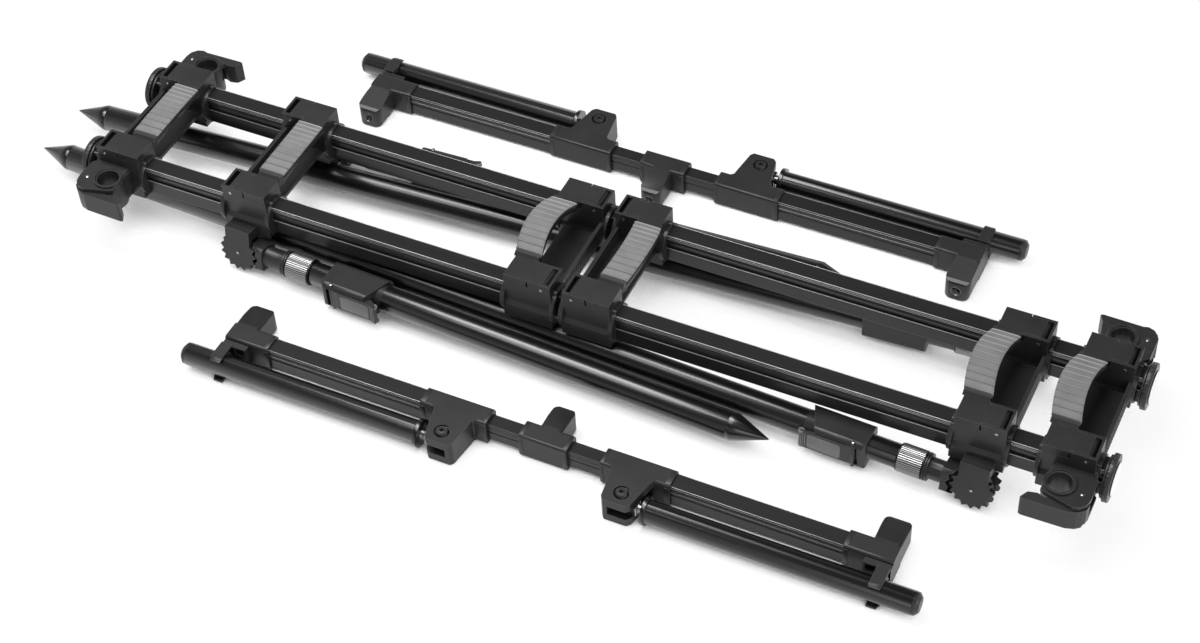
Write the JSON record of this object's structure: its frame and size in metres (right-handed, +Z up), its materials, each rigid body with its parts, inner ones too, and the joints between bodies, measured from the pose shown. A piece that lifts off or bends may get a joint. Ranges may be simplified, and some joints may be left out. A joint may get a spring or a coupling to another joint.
{
  "type": "rod pod",
  "caption": "Folded fishing rod pod: telescopic twin-rail frame with quick-lever bridges, folding telescopic legs, and separate buzz bars with folding posts.",
  "frame": {"origin": "middle of the footprint of the whole folded set, on the ground under it", "axes": "+X along the rails towards the end with the long legs' hubs, +Y across the pod away from the viewer of the picture, +Z up"},
  "size_m": [0.9892, 0.4026, 0.0874],
  "materials": {
    "black_anodised": "satin black anodised",
    "black_plastic": "satin",
    "charcoal_plastic": "matte, fine texture",
    "grey_grip": "matte soft grip",
    "satin_black_tube": "satin black",
    "bright_ring": "knurled bright",
    "dark_grey_lever": "matte"
  },
  "bodies": {
    "left_frame": {"left_outer_rails": "black_anodised", "left_end_caps": "black_plastic", "bridge_3": "charcoal_plastic"},
    "inner_rails": {"inner_rails": "black_anodised"},
    "right_frame": {"right_outer_rails": "black_anodised", "right_end_caps": "black_plastic", "bridge_4": "charcoal_plastic"},
    "bridge_1": {"bridge_1": "charcoal_plastic"},
    "bridge_2": {"bridge_2": "charcoal_plastic"},
    "bridge_5": {"bridge_5": "charcoal_plastic"},
    "bridge_6": {"bridge_6": "charcoal_plastic"},
    "lever_1": {"lever_1": "charcoal_plastic", "grip_1": "grey_grip"},
    "lever_2": {"lever_2": "charcoal_plastic", "grip_2": "grey_grip"},
    "lever_3": {"lever_3": "charcoal_plastic", "grip_3": "grey_grip"},
    "lever_4": {"lever_4": "charcoal_plastic", "grip_4": "grey_grip"},
    "lever_5": {"lever_5": "charcoal_plastic", "grip_5": "grey_grip"},
    "lever_6": {"lever_6": "charcoal_plastic", "grip_6": "grey_grip"},
    "post_clamp_near_left": {"post_clamp_near_left": "charcoal_plastic"},
    "post_clamp_near_right": {"post_clamp_near_right": "charcoal_plastic"},
    "post_clamp_far_left": {"post_clamp_far_left": "charcoal_plastic"},
    "post_clamp_far_right": {"post_clamp_far_right": "charcoal_plastic"},
    "leg_knuckle_near_left": {"leg_knuckle_near_left": "charcoal_plastic"},
    "leg_ring_near_left": {"leg_ring_near_left": "bright_ring"},
    "leg_outer_near_left": {"leg_outer_near_left": "satin_black_tube"},
    "leg_lock_near_left": {"leg_lock_near_left": "dark_grey_lever"},
    "leg_knuckle_near_right": {"leg_knuckle_near_right": "charcoal_plastic"},
    "leg_ring_near_right": {"leg_ring_near_right": "bright_ring"},
    "leg_outer_near_right": {"leg_outer_near_right": "satin_black_tube"},
    "leg_lock_near_right": {"leg_lock_near_right": "dark_grey_lever"},
    "leg_knuckle_far_left": {"leg_knuckle_far_left": "charcoal_plastic"},
    "leg_ring_far_left": {"leg_ring_far_left": "bright_ring"},
    "leg_outer_far_left": {"leg_outer_far_left": "satin_black_tube"},
    "leg_lock_far_left": {"leg_lock_far_left": "dark_grey_lever"},
    "leg_knuckle_far_right": {"leg_knuckle_far_right": "charcoal_plastic"},
    "leg_ring_far_right": {"leg_ring_far_right": "bright_ring"},
    "leg_outer_far_right": {"leg_outer_far_right": "satin_black_tube"},
    "leg_lock_far_right": {"leg_lock_far_right": "dark_grey_lever"},
    "near_bar": {"near_bar_core": "charcoal_plastic"},
    "near_bar_left_arm": {"near_bar_left_arm": "charcoal_plastic"},
    "near_left_post": {"near_left_post": "satin_black_tube"},
    "near_bar_right_arm": {"near_bar_right_arm": "charcoal_plastic"},
    "near_right_post": {"near_right_post": "satin_black_tube"},
    "far_bar": {"far_bar_core": "charcoal_plastic"},
    "far_bar_left_arm": {"far_bar_left_arm": "charcoal_plastic"},
    "far_left_post": {"far_left_post": "satin_black_tube"},
    "far_bar_right_arm": {"far_bar_right_arm": "charcoal_plastic"},
    "far_right_post": {"far_right_post": "satin_black_tube"}
  },
  "joints": [
    {"name": "inner_rails_slide", "type": "slide", "parent": "left_frame", "child": "inner_rails", "axis": [1, 0, 0], "range_m": [0, 0.36]},
    {"name": "right_half_slide", "type": "slide", "parent": "inner_rails", "child": "right_frame", "axis": [1, 0, 0], "range_m": [0, 0.36]},
    {"name": "bridge_1_slide", "type": "slide", "parent": "left_frame", "child": "bridge_1", "axis": [1, 0, 0], "range_m": [0, 0.06]},
    {"name": "bridge_2_slide", "type": "slide", "parent": "left_frame", "child": "bridge_2", "axis": [1, 0, 0], "range_m": [-0.05, 0.02]},
    {"name": "bridge_5_slide", "type": "slide", "parent": "right_frame", "child": "bridge_5", "axis": [1, 0, 0], "range_m": [-0.02, 0]},
    {"name": "bridge_6_slide", "type": "slide", "parent": "right_frame", "child": "bridge_6", "axis": [-1, 0, 0], "range_m": [0, 0.012]},
    {"name": "lever_1_hinge", "type": "hinge", "parent": "bridge_1", "child": "lever_1", "pos_m": [-0.39621, 0, 0.0713], "axis": [0, -1, 0], "range_deg": [0, 85]},
    {"name": "lever_2_hinge", "type": "hinge", "parent": "bridge_2", "child": "lever_2", "pos_m": [-0.26951, 0, 0.0713], "axis": [0, -1, 0], "range_deg": [0, 85]},
    {"name": "lever_3_hinge", "type": "hinge", "parent": "left_frame", "child": "lever_3", "pos_m": [0.02309, 0, 0.0713], "axis": [0, 1, 0], "range_deg": [0, 85]},
    {"name": "lever_4_hinge", "type": "hinge", "parent": "right_frame", "child": "lever_4", "pos_m": [0.05009, 0, 0.0713], "axis": [0, -1, 0], "range_deg": [0, 85]},
    {"name": "lever_5_hinge", "type": "hinge", "parent": "bridge_5", "child": "lever_5", "pos_m": [0.40389, 0, 0.0713], "axis": [0, 1, 0], "range_deg": [0, 85]},
    {"name": "lever_6_hinge", "type": "hinge", "parent": "bridge_6", "child": "lever_6", "pos_m": [0.47249, 0, 0.0713], "axis": [0, 1, 0], "range_deg": [0, 85]},
    {"name": "post_clamp_near_left_hinge", "type": "hinge", "parent": "bridge_1", "child": "post_clamp_near_left", "pos_m": [-0.40201, -0.0838, 0.048], "axis": [0, 0, -1], "range_deg": [0, 95]},
    {"name": "post_clamp_near_right_hinge", "type": "hinge", "parent": "bridge_6", "child": "post_clamp_near_right", "pos_m": [0.47829, -0.0838, 0.048], "axis": [0, 0, 1], "range_deg": [0, 95]},
    {"name": "post_clamp_far_left_hinge", "type": "hinge", "parent": "bridge_1", "child": "post_clamp_far_left", "pos_m": [-0.40201, 0.0838, 0.048], "axis": [0, 0, 1], "range_deg": [0, 95]},
    {"name": "post_clamp_far_right_hinge", "type": "hinge", "parent": "bridge_6", "child": "post_clamp_far_right", "pos_m": [0.47829, 0.0838, 0.048], "axis": [0, 0, -1], "range_deg": [0, 95]},
    {"name": "leg_fold_near_left", "type": "hinge", "parent": "bridge_2", "child": "leg_knuckle_near_left", "pos_m": [-0.26021, -0.0701, 0.0184], "axis": [0.043, 0.9839, -0.1736], "range_deg": [0, 120]},
    {"name": "leg_ring_spin_near_left", "type": "hinge", "parent": "leg_knuckle_near_left", "child": "leg_ring_near_left", "pos_m": [-0.20066, -0.0727, 0.0184], "axis": [0.999, -0.0436, 0], "continuous": true},
    {"name": "leg_extend_near_left", "type": "slide", "parent": "leg_knuckle_near_left", "child": "leg_outer_near_left", "axis": [0.999, -0.0436, 0], "range_m": [0, 0.26]},
    {"name": "leg_lock_hinge_near_left", "type": "hinge", "parent": "leg_outer_near_left", "child": "leg_lock_near_left", "pos_m": [-0.16097, -0.08985, 0.0184], "axis": [0, 0, -1], "range_deg": [0, 90]},
    {"name": "leg_fold_near_right", "type": "hinge", "parent": "bridge_5", "child": "leg_knuckle_near_right", "pos_m": [0.39459, -0.0701, 0.0184], "axis": [-0.0421, -0.9839, 0.1736], "range_deg": [0, 120]},
    {"name": "leg_ring_spin_near_right", "type": "hinge", "parent": "leg_knuckle_near_right", "child": "leg_ring_near_right", "pos_m": [0.34344, -0.06791, 0.0184], "axis": [-0.9991, 0.0427, 0], "continuous": true},
    {"name": "leg_extend_near_right", "type": "slide", "parent": "leg_knuckle_near_right", "child": "leg_outer_near_right", "axis": [-0.9991, 0.0427, 0], "range_m": [0, 0.6]},
    {"name": "leg_lock_hinge_near_right", "type": "hinge", "parent": "leg_outer_near_right", "child": "leg_lock_near_right", "pos_m": [0.29814, -0.07858, 0.0184], "axis": [0, 0, 1], "range_deg": [0, 90]},
    {"name": "leg_fold_far_left", "type": "hinge", "parent": "bridge_2", "child": "leg_knuckle_far_left", "pos_m": [-0.26021, 0.0701, 0.0184], "axis": [-0.043, 0.9839, 0.1736], "range_deg": [0, 120]},
    {"name": "leg_ring_spin_far_left", "type": "hinge", "parent": "leg_knuckle_far_left", "child": "leg_ring_far_left", "pos_m": [-0.20066, 0.0727, 0.0184], "axis": [0.999, 0.0436, 0], "continuous": true},
    {"name": "leg_extend_far_left", "type": "slide", "parent": "leg_knuckle_far_left", "child": "leg_outer_far_left", "axis": [0.999, 0.0436, 0], "range_m": [0, 0.26]},
    {"name": "leg_lock_hinge_far_left", "type": "hinge", "parent": "leg_outer_far_left", "child": "leg_lock_far_left", "pos_m": [-0.16097, 0.08985, 0.0184], "axis": [0, 0, 1], "range_deg": [0, 90]},
    {"name": "leg_fold_far_right", "type": "hinge", "parent": "bridge_5", "child": "leg_knuckle_far_right", "pos_m": [0.39459, 0.0701, 0.0184], "axis": [0.0524, -0.9834, -0.1736], "range_deg": [0, 120]},
    {"name": "leg_ring_spin_far_right", "type": "hinge", "parent": "leg_knuckle_far_right", "child": "leg_ring_far_right", "pos_m": [0.34347, 0.06738, 0.0184], "axis": [-0.9986, -0.0532, 0], "continuous": true},
    {"name": "leg_extend_far_right", "type": "slide", "parent": "leg_knuckle_far_right", "child": "leg_outer_far_right", "axis": [-0.9986, -0.0532, 0], "range_m": [0, 0.6]},
    {"name": "leg_lock_hinge_far_right", "type": "hinge", "parent": "leg_outer_far_right", "child": "leg_lock_far_right", "pos_m": [0.29806, 0.07757, 0.0184], "axis": [0, 0, -1], "range_deg": [0, 90]},
    {"name": "near_bar_lift", "type": "slide", "parent": "left_frame", "child": "near_bar", "axis": [0, 0, 1], "range_m": [0, 0.3]},
    {"name": "near_bar_left_arm_slide", "type": "slide", "parent": "near_bar", "child": "near_bar_left_arm", "axis": [-1, 0, 0], "range_m": [0, 0.09]},
    {"name": "near_left_post_fold", "type": "hinge", "parent": "near_bar_left_arm", "child": "near_left_post", "pos_m": [-0.00341, -0.1895, 0.012], "axis": [0, 0, 1], "range_deg": [0, 90]},
    {"name": "near_bar_right_arm_slide", "type": "slide", "parent": "near_bar", "child": "near_bar_right_arm", "axis": [1, 0, 0], "range_m": [0, 0.09]},
    {"name": "near_right_post_fold", "type": "hinge", "parent": "near_bar_right_arm", "child": "near_right_post", "pos_m": [0.15259, -0.1895, 0.012], "axis": [0, 0, -1], "range_deg": [0, 90]},
    {"name": "far_bar_lift", "type": "slide", "parent": "left_frame", "child": "far_bar", "axis": [0, 0, 1], "range_m": [0, 0.3]},
    {"name": "far_bar_left_arm_slide", "type": "slide", "parent": "far_bar", "child": "far_bar_left_arm", "axis": [-1, 0, 0], "range_m": [0, 0.09]},
    {"name": "far_left_post_fold", "type": "hinge", "parent": "far_bar_left_arm", "child": "far_left_post", "pos_m": [-0.04741, 0.1895, 0.012], "axis": [0, 0, -1], "range_deg": [0, 90]},
    {"name": "far_bar_right_arm_slide", "type": "slide", "parent": "far_bar", "child": "far_bar_right_arm", "axis": [1, 0, 0], "range_m": [0, 0.09]},
    {"name": "far_right_post_fold", "type": "hinge", "parent": "far_bar_right_arm", "child": "far_right_post", "pos_m": [0.10859, 0.1895, 0.012], "axis": [0, 0, 1], "range_deg": [0, 90]}
  ]
}
